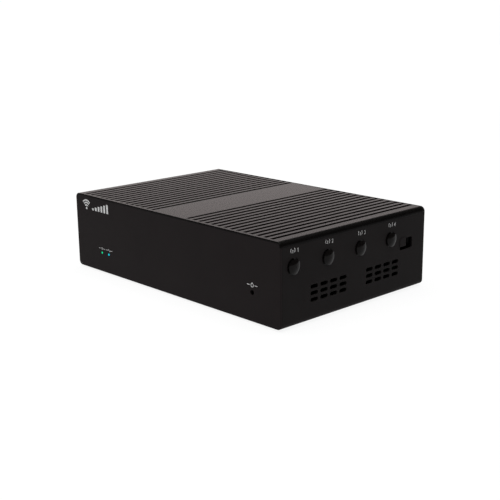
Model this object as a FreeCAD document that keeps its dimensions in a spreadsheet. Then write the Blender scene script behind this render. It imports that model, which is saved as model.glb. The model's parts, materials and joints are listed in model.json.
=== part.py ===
"""Fanless wifi extender box: finned lid over a folded steel tray, closed by a front and a rear panel.

Frame: millimetres. X runs across the front, Y from the front to the rear, Z up.
Origin: centre of the case's footprint, on the surface that the rubber feet stand on.
"""

import FreeCAD, Part
import math
import os
import re

import Sketcher

SIZES = {
    # case
    "case_width": 178.6,
    "case_depth": 116.0,
    "case_height": 45.8,
    "corner_radius": 2.8,
    "sheet_thickness": 1.2,
    "front_thickness": 1.0,
    "rear_thickness": 1.5,
    "panel_gap": 0.12,
    "front_edge_round": 0.5,
    "rear_edge_round": 0.35,
    "join_overlap": 0.5,
    "cut_margin": 1.0,
    # finned lid
    "cover_thickness": 4.0,
    "cover_edge": 2.95,
    "seam_gap": 0.15,
    "lip_thickness": 0.7,
    "lip_round": 0.5,
    "skirt_drop": 7.0,
    "skirt_thickness": 1.2,
    "skirt_clearance": 0.1,
    "groove_pitch": 5.0,
    "groove_width": 2.0,
    "groove_depth": 2.0,
    "groove_count": 14,
    "groove_chamfer": 0.25,
    "groove_margin": 2.2,
    "first_groove": 15.65,
    "post_x": 83.0,
    "post_front_y": -36.0,
    "post_rear_y": 51.0,
    "post_radius": 3.0,
    "post_drill_depth": 12.0,
    "boss_height": 8.0,
    "boss_screw_drop": 8.0,
    "boss_drill_depth": 6.5,
    # feet
    "foot_height": 0.9,
    "foot_radius": 5.5,
    "foot_x": 70.0,
    "foot_y": 42.0,
    "foot_chamfer": 0.3,
    # side vents
    "vent_length": 5.7,
    "vent_height": 2.15,
    "vent_pitch_y": 7.38,
    "vent_pitch_z": 3.53,
    "vent_first_y": -33.6,
    "vent_first_z": 12.35,
    "vent_group_pitch": 43.6,
    "vent_groups": 2,
    "vent_columns": 4,
    "vent_rows": 3,
    # antenna ports and their domed plugs
    "port_count": 4,
    "port_first_y": -48.95,
    "port_pitch": 25.6,
    "port_z": 32.8,
    "port_radius": 4.45,
    "plug_clearance": 0.05,
    "plug_head_radius": 4.05,
    "plug_head_low": 0.85,
    "plug_head_high": 0.9,
    "plug_head_top": 1.9,
    "plug_neck_radius": 3.7,
    "plug_neck_depth": 0.5,
    "plug_floor_depth": 1.6,
    "plug_length": 5.0,
    "plug_skirt_thickness": 0.8,
    "plug_slit": 1.2,
    "plug_slit_floor": 0.4,
    # lock opening with its formed hood
    "lock_y": 41.45,
    "lock_z": 28.2,
    "lock_length": 10.9,
    "lock_height": 6.4,
    "lock_corner": 1.0,
    "hood_front_y": 35.6,
    "hood_rear_y": 41.1,
    "hood_low_z": 26.9,
    "hood_top_z": 32.0,
    "hood_corner": 2.0,
    "hood_rise": 0.25,
    "hood_round": 0.2,
    # front panel holes
    "light_power_x": -64.0,
    "light_status_x": -57.1,
    "light_z": 12.9,
    "light_hole_radius": 0.75,
    "reset_x": 68.6,
    "reset_z": 16.8,
    "reset_hole_radius": 1.4,
    # front panel lugs and tongues
    "lug_x": 70.0,
    "lug_width": 10.0,
    "lug_depth": 7.0,
    "lug_height": 6.0,
    "lug_screw_y": -52.5,
    "lug_drill_depth": 5.2,
    "tongue_x": 60.0,
    "tongue_depth": 6.0,
    "tongue_height": 3.9,
    "tongue_clearance": 0.1,
    # rear tabs of the tray
    "tab_x": 70.0,
    "tab_width": 10.0,
    "tab_height": 7.8,
    "tab_screw_z": 6.1,
    # screws
    "screw_hole_radius": 1.7,
    "pilot_radius": 1.3,
    "shank_radius": 1.25,
    "head_radius": 2.75,
    "head_height": 1.6,
    "recess_width": 0.55,
    "recess_length": 2.8,
    "recess_depth": 0.8,
    "sink_depth": 1.2,
    "sink_clearance": 0.05,
    "cover_screw_length": 12.0,
    "lug_screw_length": 6.0,
    "rear_screw_length": 6.5,
    "board_screw_length": 7.0,
    "heat_screw_bite": 2.7,
    # circuit board
    "standoff_height": 8.0,
    "standoff_radius": 2.75,
    "board_thickness": 1.6,
    "board_width": 156.0,
    "board_front_y": -52.0,
    "board_rear_y": 54.0,
    "board_hole_radius": 1.6,
    "corner_hole_x": 72.0,
    "corner_hole_front_y": -44.0,
    "corner_hole_rear_y": 46.0,
    "middle_hole_x": 34.0,
    "middle_hole_y": 12.0,
    "film_y": 2.5,
    "film_width": 152.0,
    "film_depth": 98.0,
    "film_thickness": 0.3,
    "film_hole_radius": 3.5,
    # processor stack
    "processor_y": -5.0,
    "processor_side": 23.0,
    "processor_height": 1.6,
    "pad_height": 1.0,
    "heat_block_side": 26.0,
    "heat_flange_length": 52.0,
    "heat_flange_height": 4.0,
    "heat_screw_offset": 20.0,
    "heat_screw_depth": 3.0,
    # capacitors and inductors
    "power_first_x": -64.0,
    "power_pitch": 10.0,
    "can_y": 32.0,
    "can_radius": 4.0,
    "can_height": 11.5,
    "can_round": 0.6,
    "coil_y": 16.0,
    "coil_side": 7.0,
    "coil_height": 4.0,
    "coil_round": 1.2,
    # radio
    "radio_x": 43.0,
    "radio_y": -18.0,
    "radio_width": 30.0,
    "radio_depth": 26.0,
    "radio_height": 3.2,
    "radio_chip_side": 14.0,
    "radio_chip_height": 1.2,
    "can_thickness": 0.3,
    "receptacle_x": 60.8,
    "receptacle_pitch": 6.0,
    "receptacle_side": 2.6,
    "receptacle_height": 0.6,
    "receptacle_ring_radius": 1.0,
    "receptacle_ring_height": 1.25,
    "receptacle_bore_radius": 0.75,
    "receptacle_pin_radius": 0.25,
    "receptacle_pin_height": 1.1,
    "antenna_pitch": 27.0,
    "antenna_span": 20.0,
    "antenna_rise": 6.0,
    "antenna_strip": 1.6,
    "antenna_sheet": 0.4,
    "antenna_y": -49.5,
    # network ports
    "lan_width": 16.0,
    "lan_depth": 21.0,
    "lan_height": 13.4,
    "lan_shell": 0.4,
    "lan_recess": 0.4,
    "lan_mouth_width": 11.9,
    "lan_mouth_height": 7.1,
    "lan_mouth_base": 4.1,
    "lan_mouth_depth": 14.0,
    "lan_latch_width": 6.2,
    "lan_latch_height": 2.0,
    "lan_catch_width": 4.2,
    "lan_catch_height": 1.3,
    "lan_contact_count": 8,
    "lan_contact_pitch": 1.02,
    "lan_contact_width": 0.4,
    "lan_contact_length": 9.0,
    "lan_contact_rise": 2.0,
    "lan_contact_thickness": 0.4,
    "lan_contact_gap": 0.5,
    "port_gap": 0.25,
    "lan_first_x": -12.0,
    "lan_second_x": 10.0,
    # usb port
    "usb_x": -40.0,
    "usb_width": 13.1,
    "usb_depth": 14.0,
    "usb_height": 5.9,
    "usb_shell": 0.3,
    "usb_tongue_width": 11.0,
    "usb_tongue_height": 1.9,
    "usb_tongue_depth": 11.5,
    "usb_tongue_drop": 1.0,
    "usb_root_depth": 2.0,
    # power inlet
    "inlet_x": -64.0,
    "inlet_recess": 0.2,
    "inlet_width": 9.0,
    "inlet_depth": 14.4,
    "inlet_height": 11.0,
    "inlet_axis_height": 6.4,
    "inlet_bore_radius": 3.1,
    "inlet_bore_depth": 9.5,
    "inlet_pin_radius": 1.0,
    "inlet_pin_length": 8.0,
    "inlet_pin_round": 0.4,
    # reset switch
    "switch_side": 6.2,
    "switch_depth": 3.6,
    "switch_front_y": -51.0,
    "plunger_radius": 1.0,
    "plunger_front_y": -55.4,
    "plunger_rear_y": -50.4,
    "plunger_round": 0.3,
    "plunger_bore_radius": 1.08,
    "plunger_bore_depth": 1.5,
    # light pipes and their lamps
    "pipe_radius": 0.7,
    "pipe_head_radius": 1.7,
    "pipe_head_length": 4.2,
    "pipe_round": 0.25,
    "lamp_width": 3.2,
    "lamp_depth": 2.8,
    "lamp_height": 3.4,
    # rating label
    "label_width": 70.0,
    "label_depth": 36.0,
    "label_thickness": 0.1,
}

# Plain packages on the board: middle in X and Y, then length in X, width in Y and height.
PACKAGES = {
    "memory_chip_1": (20.0, -16.0, 9.0, 13.0, 1.1),
    "memory_chip_2": (20.0, 0.0, 9.0, 13.0, 1.1),
    "flash_chip": (-26.0, -14.0, 8.0, 6.0, 1.2),
    "clock_crystal": (-26.0, -4.0, 5.0, 3.2, 1.2),
    "power_controller": (-59.0, 6.0, 6.0, 6.0, 0.9),
    "lan_transformer_1": (-12.0, 27.0, 15.0, 11.0, 6.0),
    "lan_transformer_2": (10.0, 27.0, 15.0, 11.0, 6.0),
}
for name, numbers in PACKAGES.items():
    words = ("x", "y", "length", "width", "height")
    SIZES.update({f"{name}_{word}": number for word, number in zip(words, numbers)})

RIGHT = "(case_width / 2)"
FRONT = "(-case_depth / 2)"
REAR = "(case_depth / 2)"
BOTTOM = "foot_height"
TOP = "(foot_height + case_height)"
FLOOR = "(foot_height + sheet_thickness)"
PANEL_BACK = f"({FRONT} + front_thickness)"
SHELL_FRONT = f"({PANEL_BACK} + panel_gap)"
SHELL_REAR = f"({REAR} - rear_thickness)"
COVER_UNDER = f"({TOP} - cover_thickness)"
SEAM = f"({TOP} - cover_edge)"
BOARD_UNDER = f"({FLOOR} + standoff_height)"
BOARD_TOP = f"({BOARD_UNDER} + board_thickness)"
SKIRT_OUTSIDE = f"({RIGHT} - sheet_thickness - skirt_clearance)"
PROCESSOR_TOP = f"({BOARD_TOP} + processor_height)"
SWITCH_CENTRE_Y = "(switch_front_y + switch_depth / 2)"

TURN = {
    "z": FreeCAD.Rotation(),
    "-z": FreeCAD.Rotation(FreeCAD.Vector(1, 0, 0), 180),
    "y": FreeCAD.Rotation(FreeCAD.Vector(1, 0, 0), -90),
    "-y": FreeCAD.Rotation(FreeCAD.Vector(1, 0, 0), 90),
}
ALONG_X = FreeCAD.Vector(1, 0, 0)
ALONG_Y = FreeCAD.Vector(0, 1, 0)
ALONG_Z = FreeCAD.Vector(0, 0, 1)

doc = FreeCAD.newDocument("wifi_extender")
sheet = doc.addObject("Spreadsheet::Sheet", "sizes")
nodes = []


def fill_sheet():
    for row, (name, value) in enumerate(SIZES.items(), start=1):
        sheet.set(f"A{row}", name)
        sheet.set(f"B{row}", str(value))
        sheet.setAlias(f"B{row}", name)
    doc.recompute()


def formula(text):
    """Point every named size in the text at its cell."""

    def cell(found):
        word = found.group()
        return f"sizes.{word}" if word in SIZES else word

    return re.sub(r"[a-z][a-z_0-9]*", cell, str(text))


def value_of(text):
    """The number that a formula stands for."""
    return float(sheet.evalExpression(formula(text)))


def count_of(text):
    return int(value_of(text))


def bind(thing, **values):
    for name, text in values.items():
        thing.setExpression(name, formula(text))


def place(thing, x, y, z, along="z"):
    thing.Placement = FreeCAD.Placement(FreeCAD.Vector(), TURN[along])
    for axis, text in zip("xyz", (x, y, z)):
        thing.setExpression(f"Placement.Base.{axis}", formula(text))
    return thing


def node(thing, name):
    thing.Label = name
    nodes.append(thing)
    return thing


# ---------------------------------------------------------------- picking edges


def near(value, target):
    return abs(value - target) < 1e-3


def is_along(edge, axis):
    """True for a straight edge that runs along the axis."""
    if edge.Curve.TypeId != "Part::GeomLine":
        return False
    return abs(abs(edge.tangentAt(edge.FirstParameter).dot(axis)) - 1) < 1e-6


def is_ring(edge):
    return edge.Curve.TypeId == "Part::GeomCircle"


def lies_at_y(edge, level):
    return near(edge.BoundBox.YMin, level) and near(edge.BoundBox.YMax, level)


def lies_at_z(edge, level):
    return near(edge.BoundBox.ZMin, level) and near(edge.BoundBox.ZMax, level)


# ---------------------------------------------------------------- primitives


def block(x, y, base, length, width, height):
    """A box centred on x and y, standing on base."""
    box = doc.addObject("Part::Box", "block")
    bind(box, Length=length, Width=width, Height=height)
    return place(box, f"{x} - ({length}) / 2", f"{y} - ({width}) / 2", base)


def rod(x, y, z, radius, length, along="z"):
    cylinder = doc.addObject("Part::Cylinder", "rod")
    bind(cylinder, Radius=radius, Height=length)
    return place(cylinder, x, y, z, along)


def taper(x, y, z, start_radius, end_radius, length, along="z"):
    cone = doc.addObject("Part::Cone", "taper")
    bind(cone, Radius1=start_radius, Radius2=end_radius, Height=length)
    return place(cone, x, y, z, along)


def join(parts):
    fused = doc.addObject("Part::MultiFuse", "joined")
    fused.Shapes = parts
    return fused


def cut(base, tools):
    taken = doc.addObject("Part::Cut", "cut")
    taken.Base = base
    taken.Tool = tools[0] if len(tools) == 1 else join(tools)
    return taken


def group(parts):
    together = doc.addObject("Part::Compound", "group")
    together.Links = parts
    return together


def rounded(base, radius, wanted):
    """Part fillet on the edges of the recomputed base that wanted() picks."""
    doc.recompute()
    fillet = doc.addObject("Part::Fillet", "rounded")
    fillet.Base = base
    size = value_of(radius)
    picked = [i for i, edge in enumerate(base.Shape.Edges, start=1) if wanted(edge)]
    fillet.Edges = [(i, size, size) for i in picked]
    return fillet


# ------------------------------------------------------------------ sketches


def new_body(name):
    body = doc.addObject("PartDesign::Body", name)
    return node(body, name)


def sketch_on(body, role, offset):
    """A sketch parallel to one of the body's origin planes, shifted along that plane's normal."""
    sketch = body.newObject("Sketcher::SketchObject", "sketch")
    plane = next(f for f in body.Origin.OriginFeatures if f.Role == role)
    sketch.AttachmentSupport = (plane, [""])
    sketch.MapMode = "FlatFace"
    sketch.setExpression("AttachmentOffset.Base.z", formula(offset))
    doc.recompute()
    return sketch


def sketch_across(body, y):
    """An upright sketch that lies across the box at y."""
    return sketch_on(body, "XZ_Plane", f"-({y})")


def pin_point(sketch, geometry, end, across, up):
    """Hold one point of the sketch at two named distances from its origin."""
    for kind, text in (("DistanceX", across), ("DistanceY", up)):
        constraint = Sketcher.Constraint(kind, -1, 1, geometry, end, value_of(text))
        index = sketch.addConstraint(constraint)
        sketch.setExpression(f"Constraints[{index}]", formula(text))


def spot_of(point):
    across, up = point
    return FreeCAD.Vector(value_of(across), value_of(up), 0)


def path(sketch, points):
    """Straight lines through points given as pairs of formulas; returns the first and last line."""
    lines = []
    for start, end in zip(points, points[1:]):
        line = sketch.addGeometry(Part.LineSegment(spot_of(start), spot_of(end)))
        if lines:
            sketch.addConstraint(Sketcher.Constraint("Coincident", lines[-1], 2, line, 1))
        pin_point(sketch, line, 1, *start)
        lines.append(line)
    return lines[0], lines[-1]


def outline(sketch, points):
    """A closed outline of straight lines."""
    first, last = path(sketch, points + points[:1])
    sketch.addConstraint(Sketcher.Constraint("Coincident", last, 2, first, 1))


def rectangle(sketch, low_across, low_up, high_across, high_up):
    corners = [
        (low_across, low_up),
        (high_across, low_up),
        (high_across, high_up),
        (low_across, high_up),
    ]
    outline(sketch, corners)


def circle(sketch, across, up, radius):
    middle = spot_of((across, up))
    ring = sketch.addGeometry(Part.Circle(middle, ALONG_Z, value_of(radius)))
    pin_point(sketch, ring, 3, across, up)
    index = sketch.addConstraint(Sketcher.Constraint("Radius", ring, value_of(radius)))
    sketch.setExpression(f"Constraints[{index}]", formula(radius))


def pad(body, sketch, length):
    feature = body.newObject("PartDesign::Pad", "pad")
    feature.Profile = sketch
    bind(feature, Length=length)
    doc.recompute()
    return feature


def pocket(body, sketch, length, towards_front=False):
    """Cut against the sketch's normal; from an upright sketch that is towards the rear."""
    before = body.Shape.Volume
    feature = body.newObject("PartDesign::Pocket", "pocket")
    feature.Profile = sketch
    feature.Reversed = towards_front
    bind(feature, Length=length)
    doc.recompute()
    if body.Shape.Volume >= before:
        raise RuntimeError(f"a pocket of {body.Label} cuts nothing")
    return feature


def repeat(body, feature, role, step, count, backwards=False):
    """Repeat a feature in a line along one of the body's axes."""
    row = body.newObject("PartDesign::LinearPattern", "row")
    row.Originals = [feature]
    axis = next(f for f in body.Origin.OriginFeatures if f.Role == role)
    row.Direction = (axis, [""])
    row.Reversed = backwards
    bind(row, Length=f"({step}) * ({count} - 1)", Occurrences=count)
    body.Tip = row
    doc.recompute()
    return row


def dress(body, kind, amount, wanted):
    """Fillet or chamfer the edges of the body's tip that wanted() picks."""
    tip = body.Tip
    picked = [f"Edge{i}" for i, edge in enumerate(tip.Shape.Edges, start=1) if wanted(edge)]
    if not picked:
        raise RuntimeError(f"a {kind} of {body.Label} finds no edge")
    feature = body.newObject(f"PartDesign::{kind}", "dressed")
    feature.Base = (tip, picked)
    bind(feature, **{"Fillet": {"Radius": amount}, "Chamfer": {"Size": amount}}[kind])
    body.Tip = feature
    doc.recompute()
    return feature


# -------------------------------------------------------------- case: the lid


def groove_bank(body, side):
    """One bank of lid grooves, from the centre band outwards; side is 1 or -1."""
    near_edge = "(first_groove - groove_width / 2)"
    far_edge = "(first_groove + groove_width / 2)"
    start_y = f"({FRONT} + groove_margin)"
    sketch = sketch_across(body, start_y)
    points = [
        (f"{side} * ({near_edge} - groove_chamfer)", TOP),
        (f"{side} * {near_edge}", f"{TOP} - groove_chamfer"),
        (f"{side} * {near_edge}", f"{TOP} - groove_depth"),
        (f"{side} * {far_edge}", f"{TOP} - groove_depth"),
        (f"{side} * {far_edge}", f"{TOP} - groove_chamfer"),
        (f"{side} * ({far_edge} + groove_chamfer)", TOP),
    ]
    outline(sketch, points)
    groove = pocket(body, sketch, f"{SHELL_REAR} - {start_y}")
    repeat(body, groove, "X_Axis", "groove_pitch", "groove_count", backwards=side < 0)


def drill_up(body, x, y, base, radius, depth):
    """A blind hole that opens downwards at height base."""
    sketch = sketch_on(body, "XY_Plane", f"{base} + ({depth})")
    circle(sketch, x, y, radius)
    pocket(body, sketch, depth)


def lid_post(body, x, y):
    """A round post that reaches down to the tray's floor and takes a screw from below."""
    sketch = sketch_on(body, "XY_Plane", FLOOR)
    circle(sketch, x, y, "post_radius")
    pad(body, sketch, f"{COVER_UNDER} - {FLOOR} + join_overlap")
    drill_up(body, x, y, FLOOR, "pilot_radius", "post_drill_depth")


def lid_boss(body, side):
    """The thickening beside a rear post that takes a rear panel screw."""
    sketch = sketch_on(body, "XY_Plane", f"{COVER_UNDER} - boss_height")
    low, high = f"{side} * post_x - post_radius", f"{side} * post_x + post_radius"
    rectangle(sketch, low, "post_rear_y", high, SHELL_REAR)
    pad(body, sketch, "boss_height + join_overlap")
    drill = sketch_across(body, SHELL_REAR)
    circle(drill, f"{side} * post_x", f"{TOP} - boss_screw_drop", "pilot_radius")
    pocket(body, drill, "boss_drill_depth", towards_front=True)


def lid_lip(body):
    """Cut the front end back to a thin lip that overhangs the front panel."""
    inside_x = f"({RIGHT} - lip_thickness)"
    inside_z = f"({TOP} - lip_thickness)"
    sketch = sketch_across(body, FRONT)
    rectangle(sketch, f"-{inside_x}", f"{TOP} - skirt_drop - cut_margin", inside_x, inside_z)
    pocket(body, sketch, "front_thickness + panel_gap")
    ceiling = value_of(inside_z)
    inside_radius = "corner_radius - lip_thickness"
    dress(body, "Fillet", inside_radius, lambda e: is_along(e, ALONG_Y) and lies_at_z(e, ceiling))


def top_cover():
    body = new_body("top_cover")
    sketch = sketch_across(body, SHELL_REAR)
    skirt_inside = f"({SKIRT_OUTSIDE} - skirt_thickness)"
    skirt_end = f"({TOP} - skirt_drop)"
    half = [
        (RIGHT, TOP),
        (RIGHT, SEAM),
        (SKIRT_OUTSIDE, SEAM),
        (SKIRT_OUTSIDE, skirt_end),
        (skirt_inside, skirt_end),
        (skirt_inside, COVER_UNDER),
    ]
    mirrored = [(f"-{across}", up) for across, up in reversed(half)]
    outline(sketch, half + mirrored)
    pad(body, sketch, f"{SHELL_REAR} - {FRONT}")
    lid_lip(body)
    top, seam, front, right = (value_of(text) for text in (TOP, SEAM, FRONT, RIGHT))
    dress(body, "Fillet", "corner_radius", lambda e: is_along(e, ALONG_Y) and lies_at_z(e, top))

    def lip_rim(edge):
        box = edge.BoundBox
        outermost = near(box.ZMax, top) or near(max(box.XMax, -box.XMin), right)
        return lies_at_y(edge, front) and outermost and box.ZMax > seam + 0.01

    dress(body, "Fillet", "lip_round", lip_rim)
    for side in (1, -1):
        groove_bank(body, side)
        for y in ("post_front_y", "post_rear_y"):
            lid_post(body, f"{side} * post_x", y)
        lid_boss(body, side)
        screw_y = f"processor_y + {side} * heat_screw_offset"
        drill_up(body, "0", screw_y, COVER_UNDER, "pilot_radius", "heat_screw_depth")


# ------------------------------------------------------------- case: the tray


def tray_floor_hole(body, x, y):
    """A screw hole through the floor; its countersink follows once all are cut."""
    sketch = sketch_on(body, "XY_Plane", FLOOR)
    circle(sketch, x, y, "screw_hole_radius")
    pocket(body, sketch, "sheet_thickness")


def tray_tab(body, side):
    """A tab folded up from the rear edge of the floor for a rear panel screw."""
    sketch = sketch_on(body, "XY_Plane", f"{FLOOR} - sheet_thickness / 2")
    low, high = f"{side} * tab_x - tab_width / 2", f"{side} * tab_x + tab_width / 2"
    rectangle(sketch, low, f"{SHELL_REAR} - sheet_thickness", high, SHELL_REAR)
    pad(body, sketch, "tab_height + sheet_thickness / 2")
    drill = sketch_across(body, SHELL_REAR)
    circle(drill, f"{side} * tab_x", "tab_screw_z", "pilot_radius")
    pocket(body, drill, "sheet_thickness", towards_front=True)


def vent_slot(sketch, across, up):
    """One stadium-shaped slot, its long side level."""
    half = "(vent_length - vent_height) / 2"
    x, y, reach, r = (value_of(text) for text in (across, up, half, "vent_height / 2"))
    quarter = math.pi / 2
    right_end = Part.Circle(FreeCAD.Vector(x + reach, y, 0), ALONG_Z, r)
    left_end = Part.Circle(FreeCAD.Vector(x - reach, y, 0), ALONG_Z, r)
    right = sketch.addGeometry(Part.ArcOfCircle(right_end, -quarter, quarter))
    left = sketch.addGeometry(Part.ArcOfCircle(left_end, quarter, 3 * quarter))
    upper = sketch.addGeometry(
        Part.LineSegment(FreeCAD.Vector(x + reach, y + r, 0), FreeCAD.Vector(x - reach, y + r, 0))
    )
    lower = sketch.addGeometry(
        Part.LineSegment(FreeCAD.Vector(x - reach, y - r, 0), FreeCAD.Vector(x + reach, y - r, 0))
    )
    for one, one_end, other, other_end in (
        (upper, 1, right, 2),
        (upper, 2, left, 1),
        (lower, 1, left, 2),
        (lower, 2, right, 1),
    ):
        sketch.addConstraint(Sketcher.Constraint("Tangent", one, one_end, other, other_end))
    sketch.addConstraint(Sketcher.Constraint("Equal", right, left))
    index = sketch.addConstraint(Sketcher.Constraint("Radius", right, r))
    sketch.setExpression(f"Constraints[{index}]", formula("vent_height / 2"))
    pin_point(sketch, right, 3, f"{across} + {half}", up)
    pin_point(sketch, left, 3, f"{across} - {half}", up)


def side_vents(body):
    """Groups of slots, cut straight through both side walls."""
    for bank in range(count_of("vent_groups")):
        for row in range(count_of("vent_rows")):
            sketch = sketch_on(body, "YZ_Plane", RIGHT)
            across = f"vent_first_y + {bank} * vent_group_pitch"
            vent_slot(sketch, across, f"vent_first_z + {row} * vent_pitch_z")
            slot = pocket(body, sketch, "case_width")
            repeat(body, slot, "Y_Axis", "vent_pitch_y", "vent_columns")


def antenna_hole(body):
    """The first of a row of round ports in the right wall."""
    sketch = sketch_on(body, "YZ_Plane", RIGHT)
    circle(sketch, "port_first_y", "port_z", "port_radius")
    hole = pocket(body, sketch, "sheet_thickness + cut_margin")
    repeat(body, hole, "Y_Axis", "port_pitch", "port_count")


def lock_opening(body):
    """A rectangular lock opening whose upper front part is bridged by a raised hood."""
    low_y, high_y = "(lock_y - lock_length / 2)", "(lock_y + lock_length / 2)"
    low_z, high_z = "(lock_z - lock_height / 2)", "(lock_z + lock_height / 2)"
    sketch = sketch_on(body, "YZ_Plane", RIGHT)
    rectangle(sketch, low_y, low_z, high_y, high_z)
    pocket(body, sketch, "sheet_thickness + cut_margin")
    wall, ends = value_of(RIGHT), (value_of(low_y), value_of(high_y))

    def corner(edge):
        spot = edge.BoundBox.Center
        in_wall = is_along(edge, ALONG_X) and near(edge.BoundBox.XMax, wall)
        return in_wall and any(near(spot.y, end) for end in ends)

    dress(body, "Fillet", "lock_corner", corner)
    hood = sketch_on(body, "YZ_Plane", f"{RIGHT} + hood_rise - sheet_thickness")
    rectangle(hood, "hood_front_y", "hood_low_z", "hood_rear_y", "hood_top_z")
    pad(body, hood, "sheet_thickness")
    front_y, top_z = value_of("hood_front_y"), value_of("hood_top_z")
    outer = value_of(f"{RIGHT} + hood_rise")

    def hood_corner(edge):
        spot = edge.BoundBox.Center
        outside = near(edge.BoundBox.XMax, outer)
        return outside and is_along(edge, ALONG_X) and near(spot.y, front_y) and near(spot.z, top_z)

    dress(body, "Fillet", "hood_corner", hood_corner)
    side_end = value_of("hood_front_y + hood_corner")
    low = value_of("hood_low_z")

    def hood_rim(edge):
        spot = edge.BoundBox.Center
        round_side = spot.y < side_end or near(spot.z, top_z)
        return near(edge.BoundBox.XMin, outer) and round_side and spot.z > low + 0.01

    dress(body, "Fillet", "hood_round", hood_rim)


def base_tray():
    body = new_body("base_tray")
    wall_top = f"({SEAM} - seam_gap)"
    inside = f"({RIGHT} - sheet_thickness)"
    half = [
        (RIGHT, BOTTOM),
        (RIGHT, wall_top),
        (inside, wall_top),
        (inside, FLOOR),
    ]
    mirrored = [(f"-{across}", up) for across, up in reversed(half)]
    sketch = sketch_across(body, SHELL_REAR)
    outline(sketch, half + mirrored)
    pad(body, sketch, f"{SHELL_REAR} - {SHELL_FRONT}")
    bottom, floor = value_of(BOTTOM), value_of(FLOOR)
    inner_radius = "corner_radius - sheet_thickness"
    dress(body, "Fillet", "corner_radius", lambda e: is_along(e, ALONG_Y) and lies_at_z(e, bottom))
    dress(body, "Fillet", inner_radius, lambda e: is_along(e, ALONG_Y) and lies_at_z(e, floor))
    side_vents(body)
    antenna_hole(body)
    lock_opening(body)
    for side in (1, -1):
        tray_tab(body, side)
        tray_floor_hole(body, f"{side} * lug_x", "lug_screw_y")
        for y in ("post_front_y", "post_rear_y"):
            tray_floor_hole(body, f"{side} * post_x", y)
    hole = value_of("screw_hole_radius")
    sink = "head_radius + sink_clearance - screw_hole_radius"
    dress(
        body,
        "Chamfer",
        sink,
        lambda e: is_ring(e) and near(e.Curve.Radius, hole) and lies_at_z(e, bottom),
    )


# ----------------------------------------------------------- case: the panels


def front_panel():
    """The moulded panel: full width beside the tray, stepped in above to nest under the lid's lip."""
    body = new_body("front_panel")
    shoulder = f"({SEAM} - seam_gap)"
    nest_x = f"({RIGHT} - lip_thickness - seam_gap)"
    nest_z = f"({TOP} - lip_thickness - seam_gap)"
    half = [
        (RIGHT, BOTTOM),
        (RIGHT, shoulder),
        (nest_x, shoulder),
        (nest_x, nest_z),
    ]
    mirrored = [(f"-{across}", up) for across, up in reversed(half)]
    sketch = sketch_across(body, PANEL_BACK)
    outline(sketch, half + mirrored)
    pad(body, sketch, "front_thickness")
    bottom, top, front = value_of(BOTTOM), value_of(nest_z), value_of(FRONT)
    step = value_of(shoulder)
    nest_radius = "corner_radius - lip_thickness - seam_gap"
    dress(body, "Fillet", "corner_radius", lambda e: is_along(e, ALONG_Y) and lies_at_z(e, bottom))
    dress(body, "Fillet", nest_radius, lambda e: is_along(e, ALONG_Y) and lies_at_z(e, top))
    dress(
        body,
        "Fillet",
        "front_edge_round",
        lambda e: lies_at_y(e, front) and e.BoundBox.ZMin < step - 0.01,
    )
    for x, z, radius in (
        ("light_power_x", "light_z", "light_hole_radius"),
        ("light_status_x", "light_z", "light_hole_radius"),
        ("reset_x", "reset_z", "reset_hole_radius"),
    ):
        sketch = sketch_across(body, FRONT)
        circle(sketch, x, z, radius)
        pocket(body, sketch, "front_thickness")
    for side in (1, -1):
        front_lug(body, side)
        front_tongue(body, side)


def front_lug(body, side):
    """A block on the panel's back that stands on the tray's floor and takes a screw from below."""
    sketch = sketch_on(body, "XY_Plane", FLOOR)
    low, high = f"{side} * lug_x - lug_width / 2", f"{side} * lug_x + lug_width / 2"
    rectangle(sketch, low, f"{PANEL_BACK} - join_overlap", high, f"{PANEL_BACK} + lug_depth")
    pad(body, sketch, "lug_height")
    drill_up(body, f"{side} * lug_x", "lug_screw_y", FLOOR, "pilot_radius", "lug_drill_depth")


def front_tongue(body, side):
    """A tongue on the panel's back that slips in under the lid."""
    sketch = sketch_on(body, "XY_Plane", f"{COVER_UNDER} - tongue_clearance - tongue_height")
    low, high = f"{side} * tongue_x - lug_width / 2", f"{side} * tongue_x + lug_width / 2"
    rectangle(sketch, low, f"{PANEL_BACK} - join_overlap", high, f"{PANEL_BACK} + tongue_depth")
    pad(body, sketch, "tongue_height")


def rear_window(body, x, width, height):
    """A rectangular cut-out around a port that stands on the circuit board."""
    sketch = sketch_across(body, SHELL_REAR)
    rectangle(
        sketch,
        f"{x} - {width} / 2 - port_gap",
        f"{BOARD_TOP} - port_gap",
        f"{x} + {width} / 2 + port_gap",
        f"{BOARD_TOP} + {height} + port_gap",
    )
    pocket(body, sketch, "rear_thickness")


def rear_screw_spots():
    spots = []
    for side in (1, -1):
        spots.append((f"{side} * post_x", f"{TOP} - boss_screw_drop"))
        spots.append((f"{side} * tab_x", "tab_screw_z"))
    return spots


def rear_panel():
    body = new_body("rear_panel")
    blank = sketch_across(body, REAR)
    rectangle(blank, f"-{RIGHT}", BOTTOM, RIGHT, TOP)
    pad(body, blank, "rear_thickness")
    rear, hole = value_of(REAR), value_of("screw_hole_radius")
    dress(body, "Fillet", "corner_radius", lambda e: is_along(e, ALONG_Y))
    dress(body, "Fillet", "rear_edge_round", lambda e: lies_at_y(e, rear))
    rear_window(body, "inlet_x", "inlet_width", "inlet_height")
    rear_window(body, "usb_x", "usb_width", "usb_height")
    for x in ("lan_first_x", "lan_second_x"):
        rear_window(body, x, "lan_width", "lan_height")
    for x, z in rear_screw_spots():
        sketch = sketch_across(body, SHELL_REAR)
        circle(sketch, x, z, "screw_hole_radius")
        pocket(body, sketch, "rear_thickness")
    sink = "head_radius + sink_clearance - screw_hole_radius"
    dress(
        body,
        "Chamfer",
        sink,
        lambda e: is_ring(e) and near(e.Curve.Radius, hole) and lies_at_y(e, rear),
    )


# --------------------------------------------------- feet, plugs and fasteners


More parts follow.
